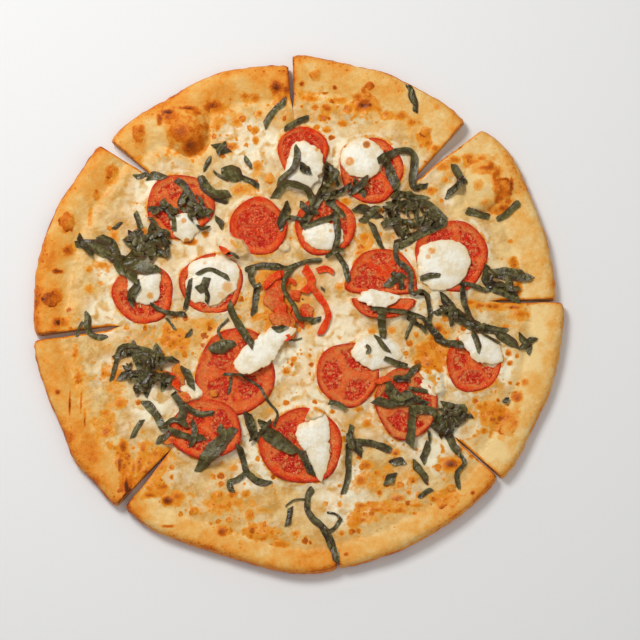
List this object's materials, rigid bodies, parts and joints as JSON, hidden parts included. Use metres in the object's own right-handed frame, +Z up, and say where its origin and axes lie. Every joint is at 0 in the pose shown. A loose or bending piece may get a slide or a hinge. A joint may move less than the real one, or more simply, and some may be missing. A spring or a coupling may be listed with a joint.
{
  "type": "caprese pizza",
  "caption": "Round baked pizza cut into slices that still lie together, with melted cheese, tomato slices, torn mozzarella and shreds of basil.",
  "frame": {"origin": "middle of the pizza's outline, on the surface it rests on", "axes": "+Z up through the toppings; +X to the right and +Y away from the viewer as the picture shows it from above"},
  "size_m": [0.365, 0.3626, 0.0177],
  "materials": {
    "crust": "baked bread crust, golden with browned bubbles",
    "cheese": "melted cheese, cream with browned spots, slightly oily",
    "tomato": "baked tomato, moist",
    "mozzarella": "soft fresh cheese, white, moist",
    "basil": "wilted leaf, dark green"
  },
  "bodies": {
    "root": {"basil_bottom": "basil", "basil_bottom_left": "basil", "basil_left": "basil", "basil_left_edge": "basil", "basil_lower_left": "basil", "basil_lower_right": "basil", "basil_middle": "basil", "basil_middle_right": "basil", "basil_right": "basil", "basil_ring": "basil", "basil_tomato_14": "basil", "basil_tomato_2": "basil", "basil_tomato_3": "basil", "basil_top": "basil", "basil_upper_left": "basil", "cheese_1": "cheese", "cheese_2": "cheese", "cheese_3": "cheese", "cheese_4": "cheese", "cheese_5": "cheese", "cheese_6": "cheese", "cheese_7": "cheese", "cheese_8": "cheese", "crust_1": "crust", "crust_2": "crust", "crust_3": "crust", "crust_4": "crust", "crust_5": "crust", "crust_6": "crust", "crust_7": "crust", "crust_8": "crust", "mozzarella_01": "mozzarella", "mozzarella_02": "mozzarella", "mozzarella_03": "mozzarella", "mozzarella_05": "mozzarella", "mozzarella_06": "mozzarella", "mozzarella_07": "mozzarella", "mozzarella_09": "mozzarella", "mozzarella_10": "mozzarella", "mozzarella_11": "mozzarella", "mozzarella_12": "mozzarella", "mozzarella_14": "mozzarella", "mozzarella_15": "mozzarella", "tomato_01": "tomato", "tomato_02": "tomato", "tomato_03": "tomato", "tomato_04": "tomato", "tomato_05": "tomato", "tomato_06": "tomato", "tomato_07": "tomato", "tomato_09_lower": "tomato", "tomato_09_upper": "tomato", "tomato_10": "tomato", "tomato_11": "tomato", "tomato_12": "tomato", "tomato_13": "tomato", "tomato_14": "tomato", "tomato_15": "tomato", "tomato_16": "tomato", "tomato_chopped": "tomato"}
  },
  "joints": []
}
